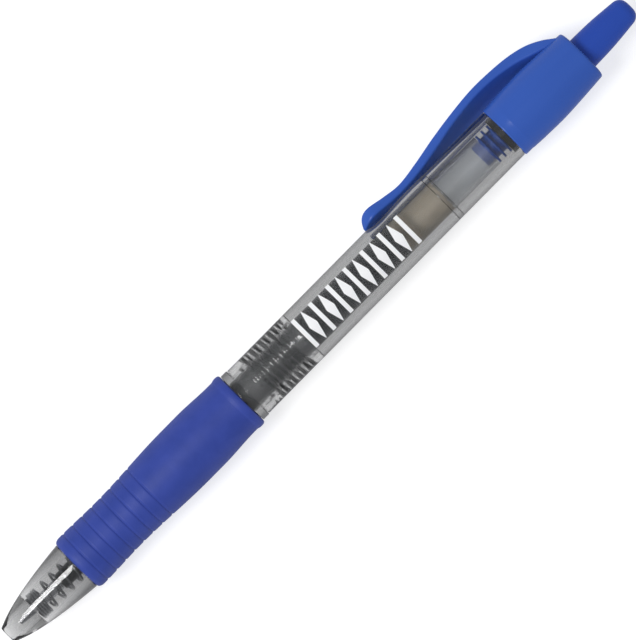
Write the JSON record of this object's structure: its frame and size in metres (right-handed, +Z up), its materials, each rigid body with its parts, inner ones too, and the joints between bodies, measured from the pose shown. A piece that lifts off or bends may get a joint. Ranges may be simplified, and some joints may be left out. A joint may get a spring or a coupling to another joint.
{
  "type": "gel pen",
  "caption": "Retractable gel pen with a clear barrel, grooved rubber grip, pocket clip and a push button that advances the refill against its spring",
  "frame": {"origin": "middle of the bounding box in x and y, on the surface that the pen lies on", "axes": "+X along the pen from the nose to the button, +Z up, clip on the +Y side and turned down to the surface"},
  "size_m": [0.1422, 0.0142, 0.012],
  "materials": {
    "smoky_clear_plastic": "clear, smoke tinted, polished",
    "blue_rubber": "satin",
    "blue_plastic": "gloss",
    "milky_clear_tube": "clear, slightly milky",
    "black_gel_ink": "wet",
    "tan_grease": "cloudy",
    "black_plastic": "moulded",
    "stainless_steel": "turned",
    "carbide": "polished",
    "spring_steel": "drawn wire"
  },
  "bodies": {
    "barrel_body": {"barrel": "smoky_clear_plastic", "clip_cap": "blue_plastic", "cam_sleeve": "blue_plastic"},
    "button_body": {"knock_button": "blue_plastic", "push_cam": "blue_plastic"},
    "refill_body": {"refill_tube": "milky_clear_tube", "gel_ink": "black_gel_ink", "grease_follower": "tan_grease", "tip_holder": "black_plastic", "tip_body": "stainless_steel"},
    "rotor_body": {"cam_rotor": "blue_plastic"},
    "ball_body": {"writing_ball": "carbide"},
    "spring_body": {"return_spring": "spring_steel"},
    "front_body": {"front_section": "smoky_clear_plastic", "grip_sleeve": "blue_rubber"}
  },
  "joints": [
    {"name": "button_press", "type": "slide", "parent": "barrel_body", "child": "button_body", "axis": [-1, 0, 0], "range_m": [0, 0.006], "stiffness_N_per_m": 300, "springref_m": -0.008, "deforming": ["return_spring"]},
    {"name": "refill_advance", "type": "slide", "parent": "barrel_body", "child": "refill_body", "axis": [-1, 0, 0], "range_m": [0, 0.006]},
    {"name": "rotor_index", "type": "hinge", "parent": "refill_body", "child": "rotor_body", "pos_m": [0.045, -0.00159, 0.0065], "axis": [1, 0, 0], "range_deg": [0, 22.5]},
    {"name": "ball_roll", "type": "hinge", "parent": "refill_body", "child": "ball_body", "pos_m": [-0.06755, -0.00159, 0.0065], "axis": [0, 1, 0], "continuous": true},
    {"name": "front_travel", "type": "slide", "parent": "barrel_body", "child": "spring_body", "axis": [-1, 0, 0], "range_m": [0, 0.01]},
    {"name": "front_unscrew", "type": "hinge", "parent": "spring_body", "child": "front_body", "pos_m": [-0.01, -0.00159, 0.0065], "axis": [-1, 0, 0], "range_deg": [0, 1801]}
  ],
  "couplings": [
    {"joint": "refill_advance", "follows": "button_press", "ratio": 1},
    {"joint": "rotor_index", "follows": "button_press", "rad_per_m": 65.45},
    {"joint": "front_unscrew", "follows": "front_travel", "rad_per_m": 3141.6}
  ]
}
